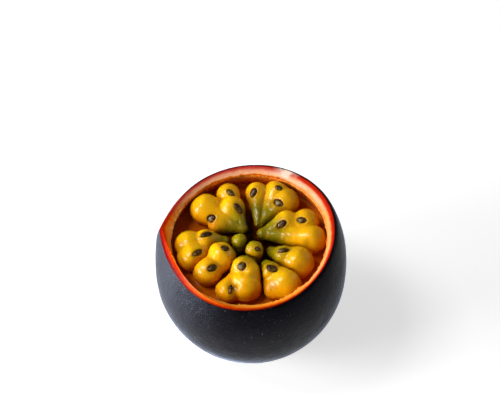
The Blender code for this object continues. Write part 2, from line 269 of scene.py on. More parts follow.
# The pulp's relief.
LUMP_GRAIN = 2.6 * MM
LUMP_HEIGHT = 0.09 * MM
WRINKLE_GRAIN = 2.6 * MM
WRINKLE_HEIGHT = 0.16 * MM
PIMPLE_GRAIN = 0.7 * MM
PIMPLE_HEIGHT = 0.015 * MM

# What lies round a seed. Rings are counted in half lengths and half widths of the seed.
WELL_DEPTH = 0.42 * MM
WELL_BORDER = (0.76, 1.0)
LIP_HEIGHT = 0.05 * MM
LIP_RING = 1.25
LIP_SPREAD = 0.22
# Painted shade: a dark ring round each seed's well, fainter on the side that faces SEED_LIGHT_SIDE.
WELL_SHADE_BORDER = (0.82, 1.04)
WELL_SHADE_LOST_IN_LIGHT = 0.7
HALO_RING = 1.35
RING_DEPTH = 1.2 * MM

# The rind's mesh.
COLUMNS = 600
WALL_ROWS = 22
CUT_ROWS = 22
EDGE_ROWS = 10
EDGE_REACH = 3.0 * MM
CROWN_HEIGHT = 0.12 * MM
EDGE_ROUNDING = 0.16 * MM
EDGE_SOFTNESS = 0.5 * MM
UPPER_ROWS = 36
LOWER_ROWS = 46
SPOT_ROWS = 8

# The rind's relief.
WANDER_GRAIN = 3.0 * MM
WANDER_SIZE = 0.26 * MM
FRAY_GRAIN = 0.8 * MM
FRAY_SIZE = 0.14 * MM
FRAY_RISE = 0.05 * MM
TUFT_GRAIN = 0.55 * MM
TUFT_BORDER = (0.15, 0.6)
TUFT_SIZE = 0.20 * MM
TUFT_RISE = 0.16 * MM
FRAYED_CUT_SHARE = 0.12
FRAYED_WALL_BORDER = (0.55, 1.0)
RIPPLE_GRAIN = 0.9 * MM
RIPPLE_SIZE = 0.10 * MM
RIPPLE_STRETCH = (1.0, 1.0, 0.4)
DIMPLE_GRAIN = 5.0 * MM
DIMPLE_SIZE = 0.05 * MM
SCAR_BORDER = (1.1 * MM, 1.7 * MM)
SCAR_RISE = 0.35 * MM

# Zones of the rind's looks: direction, spread to each side and soft border, in degrees.
RIND_ZONES = {
    "front": (268.0, 26.0, 34.0),
    "left": (186.0, 20.0, 34.0),
    "right": (350.0, 52.0, 34.0),
    # painted sheen: pale blue-grey on the skin's left side, where the left lamps fall, partly the
    # skin's waxy bloom
    "bloom_and_sheen": (186.0, 14.0, 58.0),
}
# Painted highlights on the cut face towards the back right: a strong narrow wet glint and a weaker
# wider one kept off the outer part, both kept off the inner edge.
GLINT_ZONE = (64.0, 2.0, 9.0)
GLINT_STRENGTH = 0.85
WIDE_GLINT_ZONE = (48.0, 12.0, 22.0)
WIDE_GLINT_STRENGTH = 0.4
WIDE_GLINT_BORDER = (0.45, 0.65)
GLINT_INNER_BORDER = (0.05, 0.3)
# Painted glints: where the skin's pale specks are strengthened, on its upper part at the front left,
# as the lamps' glints on the pebbled skin.
PEBBLE_GLINT_ZONE = (224.0, 6.0, 26.0)
PEBBLE_GLINT_HEIGHTS = (4.0 * MM, 11.0 * MM)

# How far the cut's red edge reaches down the skin, in millimetres, by the direction in degrees.
LIP_DIRECTIONS = (0.0, 45.0, 90.0, 135.0, 170.0, 195.0, 220.0, 250.0, 270.0, 300.0, 330.0, 360.0)
LIP_WIDTHS = (-0.5, -0.3, -0.1, 0.1, 1.6, 2.1, 1.7, 0.9, 0.5, 0.25, -0.15, -0.5)

# The juice's surface.
JUICE_COLUMNS = 300
JUICE_ROWS = 90
MENISCUS_HEIGHT = 0.22 * MM
MENISCUS_WIDTH = 0.45 * MM
JUICE_WAVE_GRAIN = 1.8 * MM
JUICE_WAVE_HEIGHT = 0.02 * MM

# The studio. Each light has its name, its place and its size in metres, and its power in watts.
LIGHTS = [
    ("left_light", (-0.42, -0.14, 0.21), 0.20, 2.0),
    ("upper_left_light", (-0.24, 0.02, 0.40), 0.14, 1.0),
    ("right_light", (0.40, 0.20, 0.16), 0.25, 0.20),
    ("low_left_light", (-0.36, 0.02, 0.02), 0.14, 2.6),
]
WORLD_STRENGTH = 0.11
FLOOR_HALF_SIZE = 4.0
FLOOR_GREY = 0.62
FLOOR_GLOW = 0.62
CLIP_START = 10.0 * MM


def polar(direction, reach, height):
    """A point from a direction in degrees, and a reach and a height in metres."""
    angle = math.radians(direction)
    return np.array((reach * math.cos(angle), reach * math.sin(angle), height))


def ring_points(radius, angles, height):
    """Points at angles in radians, with radii and heights that may differ from point to point."""
    return np.stack((radius * np.cos(angles), radius * np.sin(angles), height + 0.0 * angles), axis=1)


def skin_radius(height, angle=0.0):
    """The skin's radius at a height, and at an angle round the fruit in radians."""
    away = np.abs(np.angle(np.exp(1j * (angle - math.radians(RIDGE_AT)))))
    shoulder = SHOULDER + RIDGE * np.exp(-away / math.radians(RIDGE_SPREAD))
    for size, count, towards in SHOULDER_WAVES:
        shoulder = shoulder + size * np.cos(count * (angle - math.radians(towards)))
    above = np.clip(height / UPPER_HEIGHT, 0.0, 1.0) ** shoulder
    below = np.clip(-height / LOWER_HEIGHT, 0.0, 1.0) ** 2
    return EQUATOR_RADIUS * (1.0 - above) ** (1.0 / shoulder) * np.sqrt(1.0 - below)


def rim_height(angle):
    """The height of the rim's outer edge at an angle."""
    return RIM_HEIGHT + RIM_LEAN * np.cos(angle - math.radians(RIM_LEAN_TOWARDS))


def cavity_edge(angle):
    """The radius and the height of the cut face's inner edge at an angle."""
    shift = CAVITY_EDGE_SHIFT * np.cos(angle - math.radians(CAVITY_EDGE_SHIFT_TOWARDS))
    return CAVITY_EDGE_RADIUS + shift, rim_height(angle) - CUT_FACE_DROP


def cavity_profile(inset=0.0):
    """The cavity's wall from the axis up to the juice, as (radius, height) pairs."""
    profile = []
    for number in range(INNER_POINTS):
        angle = 0.5 * math.pi * number / (INNER_POINTS - 1)
        radius = (EQUATOR_RADIUS - WALL - inset) * math.sin(angle)
        profile.append((radius, -(LOWER_HEIGHT - WALL - inset) * math.cos(angle)))
    profile.append((float(skin_radius(JUICE_LEVEL)) - NECK_WALL - inset, JUICE_LEVEL))
    return profile


def wall_radius(height, angle):
    """The radius of the cavity's wall at a height and an angle."""
    radii, heights = zip(*cavity_profile())
    edge_radius, edge_height = cavity_edge(angle)
    share = np.clip((height - JUICE_LEVEL) / (edge_height - JUICE_LEVEL), 0.0, 1.0)
    return np.interp(height, heights, radii) + share * (edge_radius - radii[-1])


def taper(points, start, end, start_radius, end_radius):
    """The distance from points to a round bar whose radius changes from start to end."""
    axis = end - start
    along = np.clip((points - start) @ axis / (axis @ axis), 0.0, 1.0)
    nearest = start + along[:, None] * axis
    radius = start_radius + along * (end_radius - start_radius)
    return np.linalg.norm(points - nearest, axis=1) - radius


def soft_join(first, second, softness):
    """The smaller of two distances, with a rounded crease where they meet."""
    mix = np.clip(0.5 + 0.5 * (second - first) / softness, 0.0, 1.0)
    return second + (first - second) * mix - softness * mix * (1.0 - mix)


def soft_cut(first, second, softness):
    """The larger of two distances, with a rounded edge where they meet."""
    return -soft_join(-first, -second, softness)


def smooth_step(low, high, values):
    """0 below low, 1 above high, and a smooth ramp between them."""
    share = np.clip((values - low) / (high - low), 0.0, 1.0)
    return share * share * (3.0 - 2.0 * share)


def bars(lobe):
    """The round bars of each head: one down to its foot in the juice, one to its neck."""
    made = []
    for direction, reach, height, radius, *neck_number in lobe["heads"]:
        head = polar(direction, reach * MM, height * MM)
        foot_radius = radius * MM * FOOT_SHARE
        foot = polar(direction, reach * MM, JUICE_LEVEL - FOOT_DEPTH + foot_radius)
        pair = [(head, foot, radius * MM, foot_radius)]
        if neck_number:
            neck_direction, neck_reach, neck_height, neck_radius = lobe["necks"][neck_number[0]]
            neck = polar(neck_direction, neck_reach * MM, neck_height * MM)
            pair.append((head, neck, radius * MM, neck_radius * MM))
        made.append(pair)
    return made


def lobe_field(points, lobe):
    """The distance from points to a whole lobe."""
    result = None
    for pair in bars(lobe):
        drop = taper(points, *pair[0])
        for bar in pair[1:]:
            drop = soft_join(drop, taper(points, *bar), NECK_SOFTNESS)
        result = drop if result is None else soft_join(result, drop, HEAD_SOFTNESS)
    return result


@functools.lru_cache(maxsize=None)
def neighbours(name):
    """The lobes that come near enough to press on this one."""
    all_bars = [bar for pair in bars(LOBES[name]) for bar in pair]
    points = np.array([bar[end] for bar in all_bars for end in (0, 1)])
    radii = np.array([bar[end + 2] for bar in all_bars for end in (0, 1)])
    return [
        lobe
        for other, lobe in LOBES.items()
        if other != name and (lobe_field(points, lobe) - radii).min() < NEIGHBOUR_RANGE
    ]


def pressed_field(points, name):
    """A lobe's field, flattened where its neighbours and the rind press on it."""
    own = lobe_field(points, LOBES[name])
    result = own
    for lobe in neighbours(name):
        flat = 0.5 * (own - lobe_field(points, lobe) + LOBE_GAP)
        result = soft_cut(result, flat, PRESS_SOFTNESS)
    reach = np.hypot(points[:, 0], points[:, 1])
    angle = np.arctan2(points[:, 1], points[:, 0])
    room = wall_radius(points[:, 2], angle) - LOBE_GAP
    return soft_cut(result, reach - room, PRESS_SOFTNESS)


def slope_of(points, name):
    """The slope of a lobe's field at points, by central differences."""
    step = 0.02 * MM
    slope = np.empty_like(points)
    for axis, offset in enumerate(np.eye(3) * step):
        ahead = pressed_field(points + offset, name)
        behind = pressed_field(points - offset, name)
        slope[:, axis] = (ahead - behind) / (2.0 * step)
    return slope


def settle(points, name):
    """Moves points along the field's slope onto the lobe's surface."""
    least_steepness = 0.2
    for _ in range(SETTLE_ROUNDS):
        slope = slope_of(points, name)
        steepness = np.maximum((slope * slope).sum(axis=1), least_steepness)
        points = points - (pressed_field(points, name) / steepness)[:, None] * slope
    return points


def seed_place(name, head, facing, lean):
    """Where a line from a head's centre leaves the lobe's surface, by halving an interval."""
    direction, reach, height, radius = LOBES[name]["heads"][head][:4]
    start = polar(direction, reach * MM, height * MM)
    line = polar(facing, math.sin(math.radians(lean)), math.cos(math.radians(lean)))
    near, far = 0.0, 2.0 * radius * MM
    while far - near > TOUCH:
        middle = 0.5 * (near + far)
        inside = pressed_field((start + middle * line)[None, :], name)[0] < 0.0
        near, far = (middle, far) if inside else (near, middle)
    return start + near * line


@functools.lru_cache(maxsize=None)
def seed_frames(name):
    """Each seed of a lobe: its spot, its three axes as rows, its half length and its width share."""
    frames = []
    for head, facing, lean, turn, length, width_share in LOBES[name]["seeds"]:
        spot = seed_place(name, head, facing, lean)
        normal = slope_of(spot[None, :], name)[0]
        normal = normal / np.linalg.norm(normal)
        along = polar(facing + turn, 1.0, 0.0)
        along = along - (along @ normal) * normal
        along = along / np.linalg.norm(along)
        axes = np.array((along, np.cross(normal, along), normal))
        frames.append((spot, axes, 0.5 * length * MM, width_share))
    return frames


def bell(points, spot, width):
    """1 at a spot, and near 0 beyond a width in millimetres."""
    away = np.linalg.norm(points - spot, axis=1) / (width * MM)
    return np.exp(-2.0 * away**2)


def noise_at(points, grain, seed):
    """Smooth noise from -1 to 1 at points, with a grain in metres."""
    shift = Vector((seed * 17.3, seed * 5.1, seed * 9.7))
    return np.array([noise.noise(Vector(point) / grain + shift) for point in points])


def add_attribute(mesh, name, values):
    """Stores one number for each vertex."""
    attribute = mesh.attributes.new(name, "FLOAT", "POINT")
    attribute.data.foreach_set("value", np.asarray(values, dtype=np.float32))


def add_object(name, data):
    """A new object in the scene."""
    made = bpy.data.objects.new(name, data)
    bpy.context.scene.collection.objects.link(made)
    return made


def new_mesh(name, points, faces):
    """A mesh from points and faces."""
    mesh = bpy.data.meshes.new(name)
    mesh.from_pydata(points, [], faces)
    mesh.update()
    return mesh


def new_piece(name, mesh, node_names):
    """A finished piece at the fruit's centre, which stands for the named nodes."""
    piece = add_object(name, mesh)
    piece.location = (0.0, 0.0, EQUATOR_LEVEL)
    mesh.shade_smooth()
    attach(piece, "root")
    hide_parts(*node_names)


def turned_mesh(name, rows):
    """A closed mesh from rings of points, whose first and last rings are one point each."""
    count = rows[1].shape[0]
    points = np.concatenate([rows[0][:1], *rows[1:-1], rows[-1][:1]])
    faces = []
    last = len(points) - 1
    for column in range(count):
        after = (column + 1) % count
        faces.append((0, 1 + column, 1 + after))
        for ring in range(len(rows) - 3):
            low = 1 + ring * count
            high = low + count
            faces.append((low + column, high + column, high + after, low + after))
        low = 1 + (len(rows) - 3) * count
        faces.append((low + column, last, low + after))
    return new_mesh(name, points.tolist(), faces)


def add_node(tree, kind, values=None, **settings):
    """A shader node with its settings, and with values or links on its inputs."""
    made = tree.nodes.new("ShaderNode" + kind)
    for key, value in settings.items():
        setattr(made, key, value)
    for key, value in (values or {}).items():
        if isinstance(value, bpy.types.NodeSocket):
            tree.links.new(value, made.inputs[key])
        else:
            made.inputs[key].default_value = value
    return made


def linear(red, green, blue):
    """A linear colour from sRGB values of 0 to 255."""
    shares = [value / 255.0 for value in (red, green, blue)]
    return tuple(
        share / 12.92 if share <= 0.04045 else ((share + 0.055) / 1.055) ** 2.4 for share in shares
    )


def ramp(tree, factor, stops):
    """A colour ramp from (position, colour) stops."""
    made = add_node(tree, "ValToRGB", {"Fac": factor})
    elements = made.color_ramp.elements
    while len(elements) < len(stops):
        elements.new(0.5)
    for element, (position, colour) in zip(elements, stops):
        element.position = position
        element.color = (*colour, 1.0)
    return made.outputs["Color"]


def grey_ramp(tree, factor, low, high):
    """0 below low, 1 above high, and straight between them."""
    made = add_node(tree, "MapRange", {"Value": factor, "From Min": low, "From Max": high})
    return made.outputs["Result"]


def blend(tree, factor, first, second):
    """The first colour where the factor is 0, and the second where it is 1."""
    made = add_node(tree, "Mix", data_type="RGBA")
    for key, value in ((0, factor), (6, first), (7, second)):
        if isinstance(value, bpy.types.NodeSocket):
            tree.links.new(value, made.inputs[key])
        elif key == 0:
            made.inputs[key].default_value = value
        else:
            made.inputs[key].default_value = (*value, 1.0)
    return made.outputs[2]


def maths(tree, operation, first, second=0.0, clamp=False):
    """One sum on two numbers or sockets."""
    made = add_node(tree, "Math", {0: first, 1: second}, operation=operation, use_clamp=clamp)
    return made.outputs[0]


def noise_node(tree, grain, detail=3.0, roughness=0.55, stretch=(1.0, 1.0, 1.0)):
    """Noise with a grain in millimetres, stretched along the object's axes."""
    place = add_node(tree, "TexCoord").outputs["Object"]
    scale = tuple(1.0 / (grain * MM * share) for share in stretch)
    mapped = add_node(tree, "Mapping", {"Vector": place, "Scale": scale}).outputs[0]
    values = {"Vector": mapped, "Scale": 1.0, "Detail": detail, "Roughness": roughness}
    return add_node(tree, "TexNoise", values).outputs["Fac"]


def centred(tree, factor, size, middle=0.5):
    """A factor's distance from its middle, times a size."""
    return maths(tree, "MULTIPLY", maths(tree, "SUBTRACT", factor, middle), size)


def roughness_node(tree, factor, low, high):
    """A roughness from low to high over the range in which most of a noise lies."""
    values = {"Value": factor, "From Min": 0.3, "From Max": 0.7, "To Min": low, "To Max": high}
    return add_node(tree, "MapRange", values).outputs["Result"]


def attribute_node(tree, name):
    """A number stored on the mesh."""
    return add_node(tree, "Attribute", attribute_name=name).outputs["Fac"]


def bump_node(tree, height, distance, normal=None):
    """A bump of a height in millimetres."""
    values = {"Height": height, "Strength": 1.0, "Distance": distance * MM}
    if normal is not None:
        values["Normal"] = normal
    return add_node(tree, "Bump", values).outputs["Normal"]


def new_material(name):
    """A material and its node tree."""
    material = bpy.data.materials.new(name)
    material.use_nodes = True
    return material, material.node_tree


def finished(material, values):
    """The material, with its shader's inputs set or linked."""
    tree = material.node_tree
    shader = tree.nodes["Principled BSDF"]
    for key, value in values.items():
        if isinstance(value, bpy.types.NodeSocket):
            tree.links.new(value, shader.inputs[key])
        elif isinstance(value, tuple) and len(value) == 3 and key != "Subsurface Radius":
            shader.inputs[key].default_value = (*value, 1.0)
        else:
            shader.inputs[key].default_value = value
    return material


def skin_material():
    """Near-black purple skin: satin, with pale specks, some painted as glints, faint mottling, a few
    fine scratches and painted sheen.
    """
    material, tree = new_material("fruit_skin")
    mottle = noise_node(tree, 5.0, 4.0)
    dark = [(0.30, (0.0012, 0.0006, 0.0014)), (0.72, (0.0040, 0.0026, 0.0052))]
    colour = ramp(tree, mottle, dark)
    # Painted sheen: a mottled pale blue-grey on the skin's left side, where the left lamps fall,
    # partly the skin's waxy bloom.
    patches = grey_ramp(tree, mottle, -0.1, 0.6)
    bloom_and_sheen = maths(tree, "MULTIPLY", attribute_node(tree, "bloom_and_sheen"), patches)
    colour = blend(tree, bloom_and_sheen, colour, (0.031, 0.034, 0.048))
    specks = grey_ramp(tree, noise_node(tree, 0.32, 2.0, 0.6), 0.52, 0.72)
    # Painted glints: the pale specks are much stronger on the upper skin at the front left.
    pebble_glints = maths(tree, "MULTIPLY", attribute_node(tree, "pebble_glints"), 0.8)
    specks = maths(tree, "MULTIPLY", specks, maths(tree, "ADD", pebble_glints, 0.1))
    colour = blend(tree, specks, colour, (0.085, 0.095, 0.115))
    scratches = grey_ramp(tree, noise_node(tree, 0.35, 1.0, 0.5, (1.0, 1.0, 4.0)), 0.735, 0.77)
    colour = blend(tree, maths(tree, "MULTIPLY", scratches, 0.6), colour, (0.13, 0.13, 0.15))
    bark = [(0.3, (0.06, 0.032, 0.015)), (0.7, (0.25, 0.16, 0.085))]
    colour = blend(tree, attribute_node(tree, "scar"), colour, ramp(tree, noise_node(tree, 0.6), bark))
    normal = bump_node(tree, noise_node(tree, 1.6, 2.0), 0.10)
    normal = bump_node(tree, noise_node(tree, 0.32, 3.0, 0.6), 0.06, normal)
    values = {
        "Base Color": colour,
        "Roughness": roughness_node(tree, mottle, 0.36, 0.5),
        "Normal": normal,
        "Specular IOR Level": 0.06,
        "Specular Tint": (0.66, 0.78, 1.0),
        "Sheen Weight": 1.0,
        "Sheen Roughness": 0.18,
        "Sheen Tint": (0.56, 0.68, 1.0),
    }
    return finished(material, values)


def pith_material():
    """The cut face: a crimson or red outer band, peach or orange flesh, an orange inner edge, and
    painted highlights towards the back right.
    """
    material, tree = new_material("cut_rind")
    share = attribute_node(tree, "across")
    inner = maths(tree, "SUBTRACT", 1.05, share)
    wander = maths(tree, "MULTIPLY", centred(tree, noise_node(tree, 2.2, 5.0, 0.65), 0.5), inner)
    across = maths(tree, "ADD", share, wander)
    ink = linear(45, 8, 8)
    back = [
        (0.05, linear(206, 88, 6)),
        (0.12, linear(226, 120, 30)),
        (0.18, linear(244, 184, 132)),
        (0.42, linear(238, 160, 122)),
        (0.62, linear(206, 78, 62)),
        (0.86, linear(158, 22, 14)),
        (0.98, ink),
    ]
    right = [
        (0.00, linear(226, 118, 40)),
        (0.16, linear(244, 156, 82)),
        (0.38, linear(246, 168, 100)),
        (0.52, linear(240, 124, 68)),
        (0.62, linear(208, 48, 14)),
        (0.92, linear(164, 18, 5)),
        (0.99, ink),
    ]
    front = [
        (0.00, linear(248, 160, 50)),
        (0.30, linear(246, 150, 46)),
        (0.60, linear(228, 106, 14)),
        (0.78, linear(186, 60, 4)),
        (0.93, linear(124, 18, 3)),
        (1.00, ink),
    ]
    # On the left, where the lamps fall hardest, the red band is wider and darker, partly the rind's
    # own deep red and partly painted shade that holds it down under those lamps; the inner edge is
    # painted light, where the face slopes away from them.
    left = [
        (0.00, linear(238, 170, 84)),
        (0.14, linear(240, 142, 52)),
        (0.36, linear(238, 112, 14)),
        (0.50, linear(186, 48, 2)),
        (0.70, linear(128, 12, 1)),
        (0.96, linear(82, 4, 1)),
        (1.00, ink),
    ]
    colour = ramp(tree, across, back)
    for zone, stops in (("right", right), ("front", front), ("left", left)):
        colour = blend(tree, attribute_node(tree, zone), colour, ramp(tree, across, stops))
    # Painted highlights: patchy pale pink glints where the rind's pale share is set, towards the back
    # right.
    pale = grey_ramp(tree, noise_node(tree, 2.2, 3.0), 0.30, 0.56)
    pale = maths(tree, "MULTIPLY", pale, attribute_node(tree, "pale"))
    colour = blend(tree, pale, colour, linear(254, 226, 206))
    grain = noise_node(tree, 0.28, 3.0, 0.6)
    normal = bump_node(tree, noise_node(tree, 0.9, 3.0), 0.10)
    values = {
        "Base Color": colour,
        "Roughness": roughness_node(tree, grain, 0.45, 0.7),
        "Normal": bump_node(tree, grain, 0.06, normal),
        "Specular IOR Level": 0.0,
        "Subsurface Weight": 0.12,
        "Subsurface Radius": (1.0, 0.3, 0.1),
        "Subsurface Scale": 0.4 * MM,
        "Coat Weight": 0.02,
        "Coat Roughness": 0.2,
    }
    return finished(material, values)


def wall_material():
    """The cavity's wall above the juice: wet, orange at the edge and dark red lower down."""
    material, tree = new_material("cavity_wall")
    streaks = noise_node(tree, 1.0, 4.0, 0.6, (1.0, 1.0, 2.5))
    height = maths(tree, "ADD", attribute_node(tree, "climb"), centred(tree, streaks, 0.5))
    stops = [
        (0.00, linear(186, 44, 4)),
        (0.35, linear(236, 104, 14)),
        (0.75, linear(246, 138, 34)),
        (0.98, linear(252, 170, 64)),
    ]
    normal = bump_node(tree, streaks, 0.12)
    values = {
        "Base Color": ramp(tree, height, stops),
        "Roughness": roughness_node(tree, streaks, 0.2, 0.4),
        "Normal": bump_node(tree, noise_node(tree, 0.35, 3.0), 0.05, normal),
        "Specular IOR Level": 0.3,
        "Subsurface Weight": 0.2,
        "Subsurface Radius": (1.0, 0.25, 0.08),
        "Subsurface Scale": 0.6 * MM,
        "Coat Weight": 0.25,
        "Coat Roughness": 0.15,
    }
    return finished(material, values)


def pulp_material():
    """Pulp skin: yellow above and olive green at the necks, all wet, with painted shade that turns it
    orange to brown lower down.
    """
    material, tree = new_material("wet_pulp")
    mottle = noise_node(tree, 2.2, 3.0)
    fine = noise_node(tree, 0.45, 3.0)
    wobble = centred(tree, mottle, 0.35)
    # Painted shade: lower on a lobe, towards the juice, both ramps darken, the yellow through orange
    # to brown, as shade and juice-coloured bounce light.
    depth = maths(tree, "ADD", attribute_node(tree, "low"), wobble)
    yellow = [
        (0.00, (0.90, 0.48, 0.001)),
        (0.28, (0.88, 0.43, 0.001)),
        (0.52, (0.78, 0.31, 0.001)),
        (0.78, (0.56, 0.16, 0.001)),
        (1.00, (0.30, 0.05, 0.0)),
    ]
    olive = [(0.0, (0.36, 0.29, 0.0)), (0.45, (0.17, 0.125, 0.0)), (0.9, (0.05, 0.025, 0.0))]
    green = maths(tree, "ADD", attribute_node(tree, "green"), wobble, True)
    colour = blend(tree, green, ramp(tree, depth, yellow), ramp(tree, depth, olive))
    blush = maths(tree, "MULTIPLY", grey_ramp(tree, fine, 0.55, 0.8), 0.25)
    colour = blend(tree, blush, colour, (0.80, 0.36, 0.004))
    # Brown round seeds and where seeds lie under the skin, with painted shade on lobe sides that face
    # away from the left lamps.
    halo_and_shade = maths(tree, "MULTIPLY", attribute_node(tree, "halo_and_shade"), 0.55)
    colour = blend(tree, halo_and_shade, colour, (0.30, 0.10, 0.0))
    # Painted shade: a dark ring round each seed's well.
    colour = blend(tree, attribute_node(tree, "well_shade"), colour, (0.10, 0.042, 0.003))
    values = {
        "Base Color": colour,
        "Roughness": roughness_node(tree, fine, 0.2, 0.32),
        "Normal": bump_node(tree, fine, 0.012, bump_node(tree, mottle, 0.05)),
        "Specular IOR Level": 0.2,
        "Subsurface Weight": 0.45,
        "Subsurface Radius": (1.0, 0.45, 0.04),
        "Subsurface Scale": 1.2 * MM,
        "Coat Weight": 0.26,
        "Coat Roughness": 0.2,
    }
    return finished(material, values)


def juice_material():
    """Red-brown juice, mottled, with painted shade and light: near black in the middle, deep between
    the lobes, and lighter and browner towards the rind.
    """
    material, tree = new_material("fruit_juice")
    cloud = noise_node(tree, 2.4, 4.0, 0.6)
    outward = maths(tree, "ADD", attribute_node(tree, "outward"), centred(tree, cloud, 0.5))
    # Painted shade in the middle, where the juice lies deep between the lobes, and painted light
    # towards the rind.
    stops = [(0.15, (0.012, 0.003, 0.0)), (0.38, (0.17, 0.025, 0.0)), (0.92, (0.55, 0.12, 0.001))]
    values = {
        "Base Color": ramp(tree, outward, stops),
        "Roughness": roughness_node(tree, cloud, 0.20, 0.34),
        "Normal": bump_node(tree, cloud, 0.05),
        "Specular IOR Level": 0.08,
    }
    return finished(material, values)


def seed_material():
    """Seeds: dark brown at the edge and grey tan in the middle, pitted, under a wet film, and painted
    light on the side that faces the front left.
    """
    material, tree = new_material("fruit_seed")
    pits = noise_node(tree, 0.38, 3.0, 0.6)
    shade = centred(tree, noise_node(tree, 1.1, 3.0, 0.6), 2.6, 0.52)
    # The middle share holds the dome and the painted light on the seed's lit side.
    dome = maths(tree, "MULTIPLY", attribute_node(tree, "middle"), 0.7)
    middle = maths(tree, "ADD", dome, maths(tree, "ADD", centred(tree, pits, 0.7), shade))
    stops = [
        (0.05, linear(32, 15, 4)),
        (0.32, linear(60, 36, 8)),
        (0.62, linear(86, 60, 18)),
        (1.00, linear(132, 106, 52)),
    ]
    values = {
        "Base Color": ramp(tree, middle, stops),
        "Roughness": roughness_node(tree, pits, 0.2, 0.42),
        "Normal": bump_node(tree, pits, 0.08),
        "Specular IOR Level": 0.25,
        "Coat Weight": 0.12,
        "Coat Roughness": 0.2,
    }
    return finished(material, values)


def facing_share(angles, direction, spread, softness):
    """1 within a spread of a direction, in degrees, and 0 beyond a soft border."""
    away = np.degrees(np.abs(np.angle(np.exp(1j * (angles - math.radians(direction))))))
    return 1.0 - smooth_step(spread, spread + softness, away)


def lip_width(angles):
    """How far the cut's coloured edge reaches past the rim, or short of it, at each angle."""
    degrees = np.degrees(angles) % 360.0
    return np.interp(degrees, LIP_DIRECTIONS, LIP_WIDTHS) * MM


def rind_rings(angles):
    """The rind in rings of radii and heights, each with shares that tell where on the rind it is.

    They run over the cavity, its wall, the cut face, the shoulder, the belly and the flat spot.
    """
    edge_radius, edge_height = cavity_edge(angles)
    rim = rim_height(angles)
    rim_radius = skin_radius(RIM_HEIGHT, angles)
    face_width = np.hypot(rim_radius - edge_radius, rim - edge_height)
    cut_width = face_width + lip_width(angles)
    rings = []

    def add_ring(radius, height, **shares):
        rings.append((radius + 0.0 * angles, height + 0.0 * angles, shares))

    def add_profile_ring(along, **shares):
        """A ring at a distance from the inner edge, over the cut face and down the skin."""
        share = np.clip(along / face_width, 0.0, 1.0)
        crown = CROWN_HEIGHT * 4.0 * share * (1.0 - share)
        drop = np.maximum(along - face_width, 0.0)
        side = skin_radius((rim - drop) * RIM_HEIGHT / rim, angles)
        across = edge_radius + share * (rim_radius - edge_radius)
        radius = np.where(along > face_width, side, across)
        height = edge_height + share * (rim - edge_height) - drop + crown
        rounding = EDGE_ROUNDING * np.exp(-(((along - face_width) / EDGE_SOFTNESS) ** 2))
        add_ring(radius - rounding, height - rounding, **shares)

    for radius, height in cavity_profile()[:INNER_POINTS]:
        add_ring(radius, height)
    for row in range(WALL_ROWS):
        share = row / WALL_ROWS
        height = JUICE_LEVEL + share * (edge_height - JUICE_LEVEL)
        add_ring(wall_radius(height, angles), height, climb=share, wall=1.0)
    for row in range(CUT_ROWS):
        share = row / (CUT_ROWS - 1)
        add_profile_ring(share * cut_width, across=share, cut=1.0)
    skin_start = face_width + EDGE_REACH
    for row in range(1, EDGE_ROWS + 1):
        share = row / EDGE_ROWS
        add_profile_ring(cut_width + share * (skin_start - cut_width))
    top = (rim - EDGE_REACH) * RIM_HEIGHT / rim
    for row in range(UPPER_ROWS):
        level = top * math.cos(0.5 * math.pi * (row + 1) / (UPPER_ROWS + 1))
        add_ring(skin_radius(level, angles), level * rim / RIM_HEIGHT)
    lower_end = math.acos(FLAT_SPOT_RADIUS / EQUATOR_RADIUS)
    for row in range(LOWER_ROWS):
        angle = lower_end * row / (LOWER_ROWS - 1)
        add_ring(EQUATOR_RADIUS * math.cos(angle), -LOWER_HEIGHT * math.sin(angle))
    for row in range(1, SPOT_ROWS):
        share = 1.0 - row / (SPOT_ROWS - 1)
        add_ring(FLAT_SPOT_RADIUS * share, -EQUATOR_LEVEL, spot=1.0)
    return rings


def set_rind_slots(mesh, ring_of):
    """Gives each face the skin's, the cut's or the wall's material, by the first ring it touches."""
    corners = np.empty(len(mesh.loops), dtype=int)
    mesh.loops.foreach_get("vertex_index", corners)
    starts = np.empty(len(mesh.polygons), dtype=int)
    mesh.polygons.foreach_get("loop_start", starts)
    first_ring = np.minimum.reduceat(ring_of[corners], starts)
    first_cut = INNER_POINTS + WALL_ROWS
    last_cut = first_cut + CUT_ROWS - 2
    for material in (skin_material(), pith_material(), wall_material()):
        mesh.materials.append(material)
    skin_slot, pith_slot, wall_slot = range(3)
    slots = np.where(first_ring < last_cut, pith_slot, skin_slot)
    slots = np.where(first_ring < first_cut, wall_slot, slots)
    mesh.polygons.foreach_set("material_index", slots.astype(np.int32))


